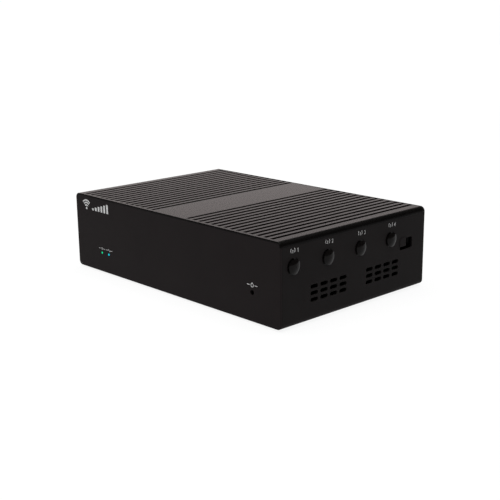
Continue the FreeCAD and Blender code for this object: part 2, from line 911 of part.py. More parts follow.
def rubber_feet():
    for depth, y_side in (("front", -1), ("rear", 1)):
        for flank, x_side in (("left", -1), ("right", 1)):
            body = new_body(f"rubber_foot_{depth}_{flank}")
            sketch = sketch_on(body, "XY_Plane", "0")
            circle(sketch, "0", "0", "foot_radius")
            pad(body, sketch, "foot_height")
            dress(body, "Chamfer", "foot_chamfer", lambda e: lies_at_z(e, 0))
            place(body, f"{x_side} * foot_x", f"{y_side} * foot_y", "0")


def plug_profile(body):
    """Half section of a plug along X: domed head, neck, and a hollow skirt behind the wall."""
    skirt = "(port_radius - plug_clearance)"
    bore = f"({skirt} - plug_skirt_thickness)"
    sketch = sketch_on(body, "XZ_Plane", "0")
    points = [
        ("plug_head_high", "plug_head_radius"),
        ("plug_head_low", "plug_head_radius"),
        ("0", "plug_neck_radius"),
        ("-plug_neck_depth", "plug_neck_radius"),
        ("-plug_neck_depth", skirt),
        ("-plug_length", skirt),
        ("-plug_length", bore),
        ("-plug_floor_depth", bore),
        ("-plug_floor_depth", "0"),
        ("plug_head_top", "0"),
    ]
    first, last = path(sketch, points)
    pin_point(sketch, last, 2, *points[-1])
    rise, reach = value_of("plug_head_top - plug_head_high"), value_of("plug_head_radius")
    ball = (reach**2 + rise**2) / (2 * rise)
    centre = FreeCAD.Vector(value_of("plug_head_top") - ball, 0, 0)
    round_off = Part.ArcOfCircle(Part.Circle(centre, ALONG_Z, ball), 0, math.asin(reach / ball))
    dome = sketch.addGeometry(round_off)
    sketch.addConstraint(Sketcher.Constraint("Coincident", dome, 1, last, 2))
    sketch.addConstraint(Sketcher.Constraint("Coincident", dome, 2, first, 1))
    sketch.addConstraint(Sketcher.Constraint("PointOnObject", dome, 3, -1))
    return sketch


def antenna_plug(number):
    """A push-in blanking plug, turned about X with the wall's outer face at X = 0."""
    body = new_body(f"antenna_plug_{number}")
    turned = body.newObject("PartDesign::Revolution", "turned")
    turned.Profile = plug_profile(body)
    axis = next(f for f in body.Origin.OriginFeatures if f.Role == "X_Axis")
    turned.ReferenceAxis = (axis, [""])
    turned.Angle = 360
    doc.recompute()
    across = "2 * port_radius"
    for width, height in (("plug_slit", across), (across, "plug_slit")):
        slit = sketch_on(body, "YZ_Plane", "-plug_floor_depth - plug_slit_floor")
        low_y, low_z = f"-({width}) / 2", f"-({height}) / 2"
        rectangle(slit, low_y, low_z, f"({width}) / 2", f"({height}) / 2")
        pocket(body, slit, "plug_length")
    place(body, RIGHT, f"port_first_y + {number - 1} * port_pitch", "port_z")


def driver_recess(x, y, z, along):
    """The cross recess in a screw head; x, y, z is the middle of the head's outer face."""
    bars = []
    for length, width in (("recess_length", "recess_width"), ("recess_width", "recess_length")):
        bar = doc.addObject("Part::Box", "recess")
        bind(bar, Length=length, Width=width, Height="recess_depth")
        corner = {
            "z": (f"{y} - {width} / 2", z),
            "-z": (f"{y} + {width} / 2", z),
            "-y": (y, f"{z} - {width} / 2"),
        }
        bars.append(place(bar, f"{x} - {length} / 2", *corner[along], along))
    return bars


def pan_screw(x, y, seat, length, along):
    """A pan-head screw seated at height seat; along is the way its shank points, z or -z."""
    sign = 1 if along == "z" else -1
    head_face = f"({seat} - ({sign}) * head_height)"
    head = rod(x, y, head_face, "head_radius", "head_height", along)
    shank = rod(x, y, seat, "shank_radius", length, along)
    return cut(join([head, shank]), driver_recess(x, y, head_face, along))


def sunk_screw(x, y, z, length, along):
    """A countersunk screw whose flush face is centred on x, y, z."""
    head = taper(x, y, z, "head_radius", "shank_radius", "sink_depth", along)
    shank = rod(x, y, z, "shank_radius", length, along)
    return cut(join([head, shank]), driver_recess(x, y, z, along))


def mirrored_spots(x, y):
    return [(f"{side} * {x}", y) for side in (1, -1)]


def board_spots():
    return (
        mirrored_spots("corner_hole_x", "corner_hole_front_y")
        + mirrored_spots("corner_hole_x", "corner_hole_rear_y")
        + mirrored_spots("middle_hole_x", "middle_hole_y")
    )


def fasteners():
    posts = mirrored_spots("post_x", "post_front_y") + mirrored_spots("post_x", "post_rear_y")
    cover = [sunk_screw(x, y, BOTTOM, "cover_screw_length", "z") for x, y in posts]
    node(group(cover), "cover_screws")
    lugs = mirrored_spots("lug_x", "lug_screw_y")
    front = [sunk_screw(x, y, BOTTOM, "lug_screw_length", "z") for x, y in lugs]
    node(group(front), "front_panel_screws")
    rear = [sunk_screw(x, REAR, z, "rear_screw_length", "-y") for x, z in rear_screw_spots()]
    node(group(rear), "rear_panel_screws")
    board = [pan_screw(x, y, BOARD_TOP, "board_screw_length", "-z") for x, y in board_spots()]
    node(group(board), "board_screws")
    flange_under = f"({COVER_UNDER} - heat_flange_height)"
    reach = "heat_flange_height + heat_screw_bite"
    offsets = [f"processor_y + {side} * heat_screw_offset" for side in (1, -1)]
    heat = [pan_screw("0", y, flange_under, reach, "z") for y in offsets]
    node(group(heat), "heat_block_screws")


# --------------------------------------------------------------- circuit board


def main_board():
    depth = "(board_rear_y - board_front_y)"
    middle = "(board_rear_y + board_front_y) / 2"
    blank = block("0", middle, BOARD_UNDER, "board_width", depth, "board_thickness")
    holes = [
        rod(x, y, BOARD_UNDER, "board_hole_radius", "board_thickness") for x, y in board_spots()
    ]
    node(cut(blank, holes), "main_board")


def board_standoffs():
    made = []
    for x, y in board_spots():
        outer = rod(x, y, FLOOR, "standoff_radius", "standoff_height")
        made.append(cut(outer, [rod(x, y, FLOOR, "pilot_radius", "standoff_height")]))
    node(group(made), "board_standoffs")


def insulating_film():
    film = block("0", "film_y", FLOOR, "film_width", "film_depth", "film_thickness")
    holes = [rod(x, y, FLOOR, "film_hole_radius", "film_thickness") for x, y in board_spots()]
    node(cut(film, holes), "insulating_film")


def processor_stack():
    side = "processor_side"
    package = block("0", "processor_y", BOARD_TOP, side, side, "processor_height")
    node(package, "processor")
    node(block("0", "processor_y", PROCESSOR_TOP, side, side, "pad_height"), "thermal_pad")
    base = f"({PROCESSOR_TOP} + pad_height)"
    side = "heat_block_side"
    column = block("0", "processor_y", base, side, side, f"{COVER_UNDER} - {base}")
    flange_under = f"({COVER_UNDER} - heat_flange_height)"
    size = (side, "heat_flange_length", "heat_flange_height")
    flange = block("0", "processor_y", flange_under, *size)
    holes = []
    for end in (1, -1):
        hole_y = f"processor_y + {end} * heat_screw_offset"
        holes.append(rod("0", hole_y, flange_under, "screw_hole_radius", "heat_flange_height"))
    node(cut(join([column, flange]), holes), "heat_block")


def chips():
    for name in PACKAGES:
        size = (f"{name}_length", f"{name}_width", f"{name}_height")
        node(block(f"{name}_x", f"{name}_y", BOARD_TOP, *size), name)


def power_parts():
    cans, coils = [], []
    can_top = value_of(f"{BOARD_TOP} + can_height")
    for i in range(2):
        x = f"power_first_x + {i} * power_pitch"
        can = rod(x, "can_y", BOARD_TOP, "can_radius", "can_height")
        cans.append(rounded(can, "can_round", lambda e: is_ring(e) and lies_at_z(e, can_top)))
        coil = block(x, "coil_y", BOARD_TOP, "coil_side", "coil_side", "coil_height")
        coils.append(rounded(coil, "coil_round", lambda e: is_along(e, ALONG_Z)))
    node(group(cans), "bulk_capacitors")
    node(group(coils), "power_inductors")


# ----------------------------------------------------------------------- radio


def receptacle(y):
    """A coaxial board socket: a square base with a ring round a pin."""
    x, side = "receptacle_x", "receptacle_side"
    base = block(x, y, BOARD_TOP, side, side, "receptacle_height")
    ring = rod(x, y, BOARD_TOP, "receptacle_ring_radius", "receptacle_ring_height")
    bore_base = f"{BOARD_TOP} + receptacle_height"
    bore = rod(x, y, bore_base, "receptacle_bore_radius", "receptacle_ring_height")
    pin = rod(x, y, BOARD_TOP, "receptacle_pin_radius", "receptacle_pin_height")
    return join([cut(join([base, ring]), [bore]), pin])


def radio():
    outer = block("radio_x", "radio_y", BOARD_TOP, "radio_width", "radio_depth", "radio_height")
    inner = block(
        "radio_x",
        "radio_y",
        BOARD_TOP,
        "radio_width - 2 * can_thickness",
        "radio_depth - 2 * can_thickness",
        "radio_height - can_thickness",
    )
    node(cut(outer, [inner]), "radio_shield")
    size = ("radio_chip_side", "radio_chip_side", "radio_chip_height")
    node(block("radio_x", "radio_y", BOARD_TOP, *size), "radio_chip")
    middle = "(port_count - 1) / 2"
    places = [
        f"radio_y + ({i} - {middle}) * receptacle_pitch" for i in range(count_of("port_count"))
    ]
    node(group([receptacle(y) for y in places]), "antenna_receptacles")


def board_antenna(number):
    """A folded strip antenna on the front edge of the board, behind the plastic panel."""
    x = f"({number} - (port_count + 1) / 2) * antenna_pitch"
    arm_height = f"{BOARD_TOP} + antenna_rise - antenna_strip"
    arm = block(x, "antenna_y", arm_height, "antenna_span", "antenna_sheet", "antenna_strip")
    legs = []
    for shift in ("-antenna_span / 2 + antenna_strip / 2", "-antenna_span / 4"):
        size = ("antenna_strip", "antenna_sheet", "antenna_rise")
        legs.append(block(f"{x} + {shift}", "antenna_y", BOARD_TOP, *size))
    node(join([arm] + legs), f"board_antenna_{number}")


# ----------------------------------------------------------------- rear ports


def lan_contact(x, mouth_back, ceiling):
    """A strip that slopes down from the mouth's ceiling, as the sprung wires in a socket do."""
    wire = doc.addObject("Part::Wedge", "contact")
    bind(
        wire,
        Xmin=0,
        Xmax="lan_contact_width",
        X2min=0,
        X2max="lan_contact_width",
        Ymin=0,
        Ymax="lan_contact_length",
        Zmin="lan_contact_rise",
        Zmax="lan_contact_rise + lan_contact_thickness",
        Z2min=0,
        Z2max="lan_contact_thickness",
    )
    reach = "(lan_contact_rise + lan_contact_thickness + lan_contact_gap)"
    return place(wire, f"{x} - lan_contact_width / 2", mouth_back, f"{ceiling} - {reach}")


def lan_port(number, x):
    mouth_y = f"({REAR} - lan_recess)"
    centre_y = f"({mouth_y} - lan_depth / 2)"
    outer = block(x, centre_y, BOARD_TOP, "lan_width", "lan_depth", "lan_height")
    inside_depth = "(lan_depth - lan_shell)"
    inside_y = f"({mouth_y} - {inside_depth} / 2)"
    inside_size = ("lan_width - 2 * lan_shell", inside_depth, "lan_height - lan_shell")
    inner = block(x, inside_y, BOARD_TOP, *inside_size)
    node(cut(outer, [inner]), f"lan_port_{number}_shell")

    core = block(x, inside_y, BOARD_TOP, *inside_size)
    base = f"({BOARD_TOP} + lan_mouth_base)"
    notch_base = f"({base} - lan_latch_height)"
    cavity_y = f"({mouth_y} - lan_mouth_depth / 2)"
    depth = "lan_mouth_depth"
    cavities = [
        block(x, cavity_y, base, "lan_mouth_width", depth, "lan_mouth_height"),
        block(x, cavity_y, notch_base, "lan_latch_width", depth, "lan_latch_height"),
        block(
            x,
            cavity_y,
            f"{notch_base} - lan_catch_height",
            "lan_catch_width",
            depth,
            "lan_catch_height",
        ),
    ]
    node(cut(core, cavities), f"lan_port_{number}_core")

    ceiling = f"({base} + lan_mouth_height)"
    middle = "(lan_contact_count - 1) / 2"
    wires = [
        lan_contact(f"{x} + ({i} - {middle}) * lan_contact_pitch", f"({mouth_y} - {depth})", ceiling)
        for i in range(count_of("lan_contact_count"))
    ]
    node(group(wires), f"lan_port_{number}_contacts")


def usb_port():
    centre_y = f"({REAR} - usb_depth / 2)"
    outer = block("usb_x", centre_y, BOARD_TOP, "usb_width", "usb_depth", "usb_height")
    inside_depth = "(usb_depth - usb_shell)"
    inside_width, inside_height = "usb_width - 2 * usb_shell", "usb_height - 2 * usb_shell"
    inside_base = f"({BOARD_TOP} + usb_shell)"
    inside_y = f"{REAR} - {inside_depth} / 2"
    inner = block("usb_x", inside_y, inside_base, inside_width, inside_depth, inside_height)
    node(cut(outer, [inner]), "usb_port_shell")
    back_y = f"({REAR} - {inside_depth})"
    base = f"({inside_base} + {inside_height} - usb_tongue_drop - usb_tongue_height)"
    tongue_size = ("usb_tongue_width", "usb_tongue_depth", "usb_tongue_height")
    tongue = block("usb_x", f"{back_y} + usb_tongue_depth / 2", base, *tongue_size)
    root_y = f"{back_y} + usb_root_depth / 2"
    root = block("usb_x", root_y, inside_base, inside_width, "usb_root_depth", inside_height)
    node(join([tongue, root]), "usb_port_tongue")


def power_inlet():
    mouth_y = f"({REAR} - inlet_recess)"
    axis_z = f"({BOARD_TOP} + inlet_axis_height)"
    size = ("inlet_width", "inlet_depth", "inlet_height")
    body = block("inlet_x", f"{mouth_y} - inlet_depth / 2", BOARD_TOP, *size)
    bore = rod("inlet_x", mouth_y, axis_z, "inlet_bore_radius", "inlet_bore_depth", "-y")
    node(cut(body, [bore]), "power_inlet_body")
    pin_y = f"({mouth_y} - inlet_bore_depth)"
    pin = rod("inlet_x", pin_y, axis_z, "inlet_pin_radius", "inlet_pin_length", "y")
    tip = value_of(f"{pin_y} + inlet_pin_length")
    round_tip = rounded(pin, "inlet_pin_round", lambda e: is_ring(e) and lies_at_y(e, tip))
    node(round_tip, "power_inlet_pin")


# -------------------------------------------------- front lights and reset key


def reset_switch():
    height = f"(reset_z + switch_side / 2 - {BOARD_TOP})"
    shell = block("reset_x", SWITCH_CENTRE_Y, BOARD_TOP, "switch_side", "switch_depth", height)
    bore_size = ("plunger_bore_radius", "plunger_bore_depth")
    bore = rod("reset_x", "switch_front_y", "reset_z", *bore_size, "y")
    node(cut(shell, [bore]), "reset_switch")
    length = "plunger_rear_y - plunger_front_y"
    plunger = rod("reset_x", "plunger_front_y", "reset_z", "plunger_radius", length, "y")
    tip = value_of("plunger_front_y")
    round_tip = rounded(plunger, "plunger_round", lambda e: is_ring(e) and lies_at_y(e, tip))
    node(round_tip, "reset_plunger")


def front_light(name, x):
    """A light pipe in the front panel and the lamp behind it on the board."""
    stem = rod(x, FRONT, "light_z", "pipe_radius", "front_thickness + join_overlap", "y")
    head = rod(x, PANEL_BACK, "light_z", "pipe_head_radius", "pipe_head_length", "y")
    tip = value_of(FRONT)
    pipe = rounded(join([stem, head]), "pipe_round", lambda e: is_ring(e) and lies_at_y(e, tip))
    node(pipe, f"{name}_light_pipe")
    lamp_size = ("lamp_width", "lamp_depth", "lamp_height")
    lamp = block(x, "board_front_y + lamp_depth / 2", BOARD_TOP, *lamp_size)
    node(lamp, f"{name}_lamp")


def rating_label():
    base = f"{BOTTOM} - label_thickness"
    node(block("0", "0", base, "label_width", "label_depth", "label_thickness"), "rating_label")


# ---------------------------------------------------------------------- export


def write_nodes():
    doc.recompute()
    for thing in doc.Objects:
        if "Invalid" in thing.State or "Error" in thing.State:
            raise RuntimeError(f"{thing.Name} ({thing.Label}) failed: {thing.State}")
    for thing in nodes:
        if thing.Shape.isNull() or not thing.Shape.isValid() or not thing.Shape.Solids:
            raise RuntimeError(f"{thing.Label} has no valid solid")
    os.makedirs("parts", exist_ok=True)
    for thing in nodes:
        thing.Shape.exportStep(f"parts/{thing.Label}.step")
    print(f"{len(nodes)} nodes written")


def main():
    fill_sheet()
    top_cover()
    base_tray()
    front_panel()
    rear_panel()
    rubber_feet()
    main_board()
    board_standoffs()
    insulating_film()
    processor_stack()
    chips()
    power_parts()
    radio()
    for number in range(1, count_of("port_count") + 1):
        antenna_plug(number)
        board_antenna(number)
    lan_port(1, "lan_first_x")
    lan_port(2, "lan_second_x")
    usb_port()
    power_inlet()
    reset_switch()
    front_light("power", "light_power_x")
    front_light("status", "light_status_x")
    rating_label()
    fasteners()
    write_nodes()


main()
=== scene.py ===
import json
import math

import bmesh
import bpy
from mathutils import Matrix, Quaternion, Vector


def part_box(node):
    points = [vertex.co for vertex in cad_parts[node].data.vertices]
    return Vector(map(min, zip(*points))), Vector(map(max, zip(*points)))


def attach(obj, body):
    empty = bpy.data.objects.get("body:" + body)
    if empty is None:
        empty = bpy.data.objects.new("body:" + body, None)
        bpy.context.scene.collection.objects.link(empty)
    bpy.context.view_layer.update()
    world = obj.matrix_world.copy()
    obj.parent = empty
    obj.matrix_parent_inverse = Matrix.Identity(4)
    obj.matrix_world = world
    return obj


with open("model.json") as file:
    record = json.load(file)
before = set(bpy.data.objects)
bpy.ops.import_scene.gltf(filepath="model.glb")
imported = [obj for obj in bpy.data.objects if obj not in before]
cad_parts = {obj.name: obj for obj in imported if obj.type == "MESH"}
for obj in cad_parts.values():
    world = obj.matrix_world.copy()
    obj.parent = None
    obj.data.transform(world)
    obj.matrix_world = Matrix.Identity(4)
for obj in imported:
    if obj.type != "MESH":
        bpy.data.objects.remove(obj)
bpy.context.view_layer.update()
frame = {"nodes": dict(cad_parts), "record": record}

MM = 0.001
NODES = frame["nodes"]
CASE = "case"


# ------------------------------------------------------------------- geometry


def add_mesh(name, bm, material, body=CASE):
    """Turn a finished bmesh into a piece that rides on a body."""
    bmesh.ops.recalc_face_normals(bm, faces=bm.faces)
    mesh = bpy.data.meshes.new(name)
    bm.to_mesh(mesh)
    bm.free()
    piece = bpy.data.objects.new(name, mesh)
    bpy.context.scene.collection.objects.link(piece)
    mesh.materials.append(material)
    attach(piece, body)
    return piece


class Face:
    """A flat face to print on: a corner, its across and up directions, and its normal."""

    def __init__(self, corner, across, up):
        self.corner = Vector(corner)
        self.across = Vector(across)
        self.up = Vector(up)
        self.normal = self.across.cross(self.up)

    def at(self, across, up, lift=0.0):
        """A point in metres from millimetres on the face."""
        offset = self.across * across + self.up * up + self.normal * lift
        return self.corner + offset * MM


INK_LIFT = 0.03
BAND_STEPS = 16
DISC_STEPS = 24


def ink_prism(bm, face, outline):
    """A flat printed patch: an outline in millimetres, a thin ink film high."""
    low = [bm.verts.new(face.at(x, y)) for x, y in outline]
    high = [bm.verts.new(face.at(x, y, INK_LIFT)) for x, y in outline]
    bm.faces.new(high)
    for i in range(len(outline)):
        j = (i + 1) % len(outline)
        bm.faces.new((low[i], low[j], high[j], high[i]))


def arc_points(centre, radius, start, end, steps=BAND_STEPS):
    """Points on an arc, its angles in degrees from across towards up."""
    points = []
    for i in range(steps + 1):
        angle = math.radians(start + (end - start) * i / steps)
        points.append((centre[0] + radius * math.cos(angle), centre[1] + radius * math.sin(angle)))
    return points


def ink_arc(bm, face, centre, radius, width, start, end):
    """A printed arc band with square ends."""
    outer = arc_points(centre, radius + width / 2, start, end)
    inner = arc_points(centre, radius - width / 2, start, end)
    for i in range(len(outer) - 1):
        ink_prism(bm, face, [outer[i], outer[i + 1], inner[i + 1], inner[i]])


def ink_disc(bm, face, centre, radius):
    """A printed dot; its last point stops one step short of the first."""
    last_angle = 360 * (DISC_STEPS - 1) / DISC_STEPS
    ink_prism(bm, face, arc_points(centre, radius, 0, last_angle, DISC_STEPS - 1))


def ink_bar(bm, face, start, end, width):
    """A straight printed stroke with square ends."""
    a, b = Vector(start), Vector(end)
    side = (b - a).normalized().orthogonal() * width / 2
    ink_prism(bm, face, [tuple(a + side), tuple(b + side), tuple(b - side), tuple(a - side)])


def ink_path(bm, face, points, width):
    """A printed polyline with rounded joints."""
    for start, end in zip(points, points[1:]):
        ink_bar(bm, face, start, end, width)
    for point in points[1:-1]:
        ink_disc(bm, face, point, width / 2)


# ------------------------------------------------------------------ materials


def new_material(name):
    """A node material with its tree and its main shader."""
    material = bpy.data.materials.new(name)
    material.use_nodes = True
    tree = material.node_tree
    shader = tree.nodes["Principled BSDF"]
    return material, tree, shader


def noise(tree, size_mm, detail=3.0, roughness=0.5):
    """A noise whose grains are about size_mm across, in the object's own millimetres."""
    coordinates = tree.nodes.new("ShaderNodeTexCoord")
    node = tree.nodes.new("ShaderNodeTexNoise")
    node.inputs["Scale"].default_value = 1.0 / (size_mm * MM)
    node.inputs["Detail"].default_value = detail
    node.inputs["Roughness"].default_value = roughness
    tree.links.new(coordinates.outputs["Object"], node.inputs["Vector"])
    return node


def ramp(tree, source, low, high, start=0.3, end=0.7):
    """Spread a source between two colours or two grey levels."""
    node = tree.nodes.new("ShaderNodeValToRGB")
    tree.links.new(source, node.inputs["Fac"])
    for element, place, value in zip(node.color_ramp.elements, (start, end), (low, high)):
        element.position = place
        element.color = (*value, 1) if isinstance(value, tuple) else (value, value, value, 1)
    return node.outputs["Color"]


def add_bump(tree, shader, height, distance_mm, strength=1.0):
    """Relief from a height between 0 and 1, distance_mm deep."""
    bump = tree.nodes.new("ShaderNodeBump")
    bump.inputs["Distance"].default_value = distance_mm * MM
    bump.inputs["Strength"].default_value = strength
    tree.links.new(height, bump.inputs["Height"])
    tree.links.new(bump.outputs["Normal"], shader.inputs["Normal"])


# Painted shade: the near-black colour laid on every surface inside the case walls, where shade
# falls.
INSIDE_SHADE = (0.0012, 0.0011, 0.0011, 1.0)
WALL_THICKNESS = 1.2 * MM
ROOF_THICKNESS = 4.0 * MM
SHADE_BOX_SLACK = 0.05 * MM


def inner_space():
    """Centre and half size in metres of the room inside the case walls, with a little slack."""
    slack, wall, roof = SHADE_BOX_SLACK, WALL_THICKNESS, ROOF_THICKNESS
    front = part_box("front_panel")[1].y
    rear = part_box("rear_panel")[0].y
    low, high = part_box("base_tray")
    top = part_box("top_cover")[1].z
    least = Vector((low.x + wall - slack, front - slack, low.z + wall - slack))
    most = Vector((high.x - wall + slack, rear + slack, top - roof + slack))
    return (least + most) / 2, (most - least) / 2


def math_step(tree, kind, operation, first, second=None):
    """One math node on a socket and either another socket or a constant."""
    step = tree.nodes.new(kind)
    step.operation = operation
    tree.links.new(first, step.inputs[0])
    if isinstance(second, bpy.types.NodeSocket):
        tree.links.new(second, step.inputs[1])
    elif second is not None:
        step.inputs[1].default_value = second
    return step.outputs[0]


def paint_inside_shade(tree, colour):
    """Painted shade: every surface within the case walls takes a near-black colour instead of its
    own finish, standing in for the shade inside the case.
    """
    centre, half = inner_space()
    vector = tree.nodes.new("ShaderNodeTexCoord").outputs["Object"]
    for operation, operand in (("SUBTRACT", centre), ("ABSOLUTE", None), ("DIVIDE", half)):
        vector = math_step(tree, "ShaderNodeVectorMath", operation, vector, operand)
    split = tree.nodes.new("ShaderNodeSeparateXYZ")
    tree.links.new(vector, split.inputs["Vector"])
    reach = split.outputs["X"]
    for axis in ("Y", "Z"):
        reach = math_step(tree, "ShaderNodeMath", "MAXIMUM", reach, split.outputs[axis])
    inside = math_step(tree, "ShaderNodeMath", "LESS_THAN", reach, 1.0)
    # Painted shade replaces the finish colour wherever the point lies inside the case walls.
    mix = tree.nodes.new("ShaderNodeMixRGB")
    mix.inputs["Color2"].default_value = INSIDE_SHADE
    tree.links.new(inside, mix.inputs["Fac"])
    tree.links.new(colour, mix.inputs["Color1"])
    return mix.outputs["Color"]


def grained(
    name, low, high, rough, grain_mm, depth_mm, cloud_mm=18.0, specular=0.5, shade_inside=False
):
    """A coated or moulded surface: cloudy colour, grainy roughness and a fine grain in relief."""
    material, tree, shader = new_material(name)
    cloud = noise(tree, cloud_mm, 4.0)
    grain = noise(tree, grain_mm, 2.0)
    colour = ramp(tree, cloud.outputs["Fac"], low, high)
    # Painted shade on the inside of the case, when asked for.
    if shade_inside:
        colour = paint_inside_shade(tree, colour)
    tree.links.new(colour, shader.inputs["Base Color"])
    tree.links.new(ramp(tree, grain.outputs["Fac"], *rough), shader.inputs["Roughness"])
    shader.inputs["Specular IOR Level"].default_value = specular
    add_bump(tree, shader, grain.outputs["Fac"], depth_mm)
    return material


BRUSH_DEPTH = 0.004


def brushed(name, low, high, rough, stretch):
    """Bare metal with fine lines; stretch is the grain in millimetres along X, Y and Z."""
    material, tree, shader = new_material(name)
    coordinates = tree.nodes.new("ShaderNodeTexCoord")
    mapping = tree.nodes.new("ShaderNodeMapping")
    mapping.inputs["Scale"].default_value = [1.0 / (size * MM) for size in stretch]
    tree.links.new(coordinates.outputs["Object"], mapping.inputs["Vector"])
    lines = tree.nodes.new("ShaderNodeTexNoise")
    lines.inputs["Scale"].default_value = 1.0
    lines.inputs["Detail"].default_value = 3.0
    tree.links.new(mapping.outputs["Vector"], lines.inputs["Vector"])
    tree.links.new(ramp(tree, lines.outputs["Fac"], low, high), shader.inputs["Base Color"])
    tree.links.new(ramp(tree, lines.outputs["Fac"], *rough), shader.inputs["Roughness"])
    shader.inputs["Metallic"].default_value = 1.0
    add_bump(tree, shader, lines.outputs["Fac"], BRUSH_DEPTH)
    return material


GUIDE_STRENGTH = 1.25


def dimmed(colour, share):
    return tuple(share * level for level in colour)


def lit_guide(name, colour):
    """A clear light guide with its lamp on: a nearly even glow over a dim tint."""
    material, tree, shader = new_material(name)
    cloud = noise(tree, 1.2, 1.0)
    glow = ramp(tree, cloud.outputs["Fac"], dimmed(colour, 0.85), colour)
    tint = ramp(tree, cloud.outputs["Fac"], dimmed(colour, 0.02), dimmed(colour, 0.04))
    tree.links.new(glow, shader.inputs["Emission Color"])
    tree.links.new(tint, shader.inputs["Base Color"])
    shader.inputs["Emission Strength"].default_value = GUIDE_STRENGTH
    shader.inputs["Specular IOR Level"].default_value = 0.05
    shader.inputs["Roughness"].default_value = 0.25
    return material


def solder_mask(name):
    """Green board lacquer over faint copper tracks."""
    material, tree, shader = new_material(name)
    coordinates = tree.nodes.new("ShaderNodeTexCoord")
    tracks = tree.nodes.new("ShaderNodeTexBrick")
    tracks.inputs["Scale"].default_value = 260.0
    tracks.inputs["Mortar Size"].default_value = 0.06
    tracks.inputs["Color1"].default_value = (0.004, 0.018, 0.009, 1)
    tracks.inputs["Color2"].default_value = (0.0036, 0.015, 0.008, 1)
    tracks.inputs["Mortar"].default_value = (0.007, 0.036, 0.016, 1)
    tree.links.new(coordinates.outputs["Object"], tracks.inputs["Vector"])
    tree.links.new(tracks.outputs["Color"], shader.inputs["Base Color"])
    grain = noise(tree, 0.6, 2.0)
    tree.links.new(ramp(tree, grain.outputs["Fac"], 0.28, 0.40), shader.inputs["Roughness"])
    add_bump(tree, shader, tracks.outputs["Fac"], 0.02, 0.5)
    return material


POWDER_COAT = {
    "low": (0.0100, 0.0086, 0.0087),
    "high": (0.0114, 0.0098, 0.0099),
    "rough": (0.50, 0.62),
    "grain_mm": 0.35,
    "depth_mm": 0.020,
    "specular": 0.04,
    # Painted shade: near black on every surface inside the case walls.
    "shade_inside": True,
}

# Coated, moulded and printed surfaces, by the record's material slot.
COATS = {
    "cover_coat": {
        "low": (0.0026, 0.0023, 0.0022),
        "high": (0.0036, 0.0031, 0.0030),
        "rough": (0.26, 0.30),
        "grain_mm": 0.60,
        "depth_mm": 0.0006,
        "specular": 0.05,
        # Painted shade: near black on every surface inside the case walls.
        "shade_inside": True,
    },
    "tray_paint": POWDER_COAT,
    "rear_paint": POWDER_COAT,
    "panel_plastic": {
        "low": (0.0128, 0.0100, 0.0104),
        "high": (0.0142, 0.0112, 0.0115),
        "rough": (0.46, 0.56),
        "grain_mm": 0.22,
        "depth_mm": 0.008,
        "specular": 0.04,
    },
    "foot_rubber": {
        "low": (0.010, 0.010, 0.010),
        "high": (0.016, 0.016, 0.015),
        "rough": (0.75, 0.88),
        "grain_mm": 0.5,
        "depth_mm": 0.03,
        "specular": 0.2,
    },
    "plug_plastic": {
        "low": (0.0038, 0.0032, 0.0031),
        "high": (0.0048, 0.0041, 0.0039),
        "rough": (0.10, 0.15),
        "grain_mm": 0.5,
        "depth_mm": 0.001,
        "specular": 0.08,
    },
    "lamp_body": {
        "low": (0.70, 0.70, 0.66),
        "high": (0.80, 0.80, 0.77),
        "rough": (0.35, 0.45),
        "grain_mm": 0.4,
        "depth_mm": 0.004,
    },
    "chip_black": {
        "low": (0.016, 0.016, 0.017),
        "high": (0.024, 0.024, 0.025),
        "rough": (0.55, 0.68),
        "grain_mm": 0.15,
        "depth_mm": 0.006,
        "cloud_mm": 4.0,
    },
    "black_steel": {
        "low": (0.014, 0.014, 0.015),
        "high": (0.024, 0.024, 0.025),
        "rough": (0.30, 0.42),
        "grain_mm": 0.3,
        "depth_mm": 0.004,
        "cloud_mm": 3.0,
    },
    "pad_grey": {
        "low": (0.24, 0.27, 0.33),
        "high": (0.29, 0.33, 0.39),
        "rough": (0.70, 0.82),
        "grain_mm": 0.5,
        "depth_mm": 0.02,
        "cloud_mm": 5.0,
    },
    "port_black": {
        "low": (0.012, 0.012, 0.0125),
        "high": (0.017, 0.017, 0.018),
        "rough": (0.45, 0.58),
        "grain_mm": 0.25,
        "depth_mm": 0.006,
        "cloud_mm": 5.0,
    },
    "film_clear": {
        "low": (0.010, 0.010, 0.011),
        "high": (0.014, 0.014, 0.015),
        "rough": (0.22, 0.34),
        "grain_mm": 2.0,
        "depth_mm": 0.01,
        "cloud_mm": 20.0,
    },
    "label_silver": {
        "low": (0.42, 0.42, 0.42),
        "high": (0.48, 0.48, 0.48),
        "rough": (0.42, 0.52),
        "grain_mm": 0.2,
        "depth_mm": 0.003,
        "cloud_mm": 10.0,
    },
    "ferrite": {
        "low": (0.05, 0.05, 0.052),
        "high": (0.08, 0.08, 0.083),
        "rough": (0.6, 0.75),
        "grain_mm": 0.3,
        "depth_mm": 0.02,
        "cloud_mm": 3.0,
    },
    "marking_ink": {
        "low": (0.60, 0.60, 0.60),
        "high": (0.70, 0.70, 0.70),
        "rough": (0.55, 0.68),
        "grain_mm": 0.15,
        "depth_mm": 0.002,
        "cloud_mm": 2.0,
    },
}

